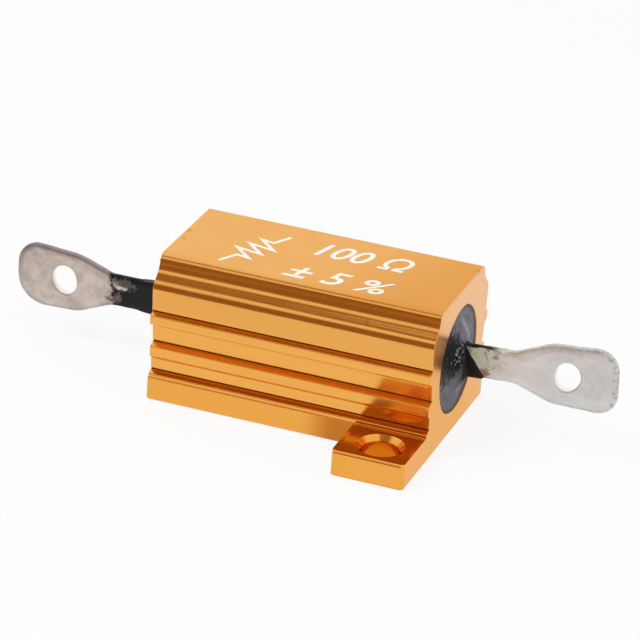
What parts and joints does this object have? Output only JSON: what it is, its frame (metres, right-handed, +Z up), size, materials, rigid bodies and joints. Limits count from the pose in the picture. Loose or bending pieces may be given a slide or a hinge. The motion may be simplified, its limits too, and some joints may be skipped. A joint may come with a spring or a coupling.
{
  "type": "wirewound resistor",
  "caption": "Wirewound power resistor in a ribbed, gold anodised aluminium body with diagonal mounting ears, dark potting and a flat tinned solder lug at each end.",
  "frame": {"origin": "the middle of the flat mounting face", "axes": "+X along the bore towards the terminal beside the front ear, +Z up from the mounting face, -Y is the front"},
  "size_m": [0.0415, 0.0194, 0.0099],
  "materials": {
    "anodised_housing": "satin gold anodised extrusion",
    "potting_compound": "satin dark grey moulding compound, pitted, glossy where it wetted the strap",
    "tinned_strap": "dull hot-tinned strap, scuffed",
    "ceramic": null,
    "resistance_alloy": "drawn nickel-chromium wire",
    "cap_steel": "plated pressed steel"
  },
  "bodies": {
    "root": {"housing": "anodised_housing", "potting": "potting_compound", "terminal_left": "tinned_strap", "terminal_right": "tinned_strap", "ceramic_core": "ceramic", "resistance_wire": "resistance_alloy", "end_cap_left": "cap_steel", "end_cap_right": "cap_steel"}
  },
  "joints": []
}
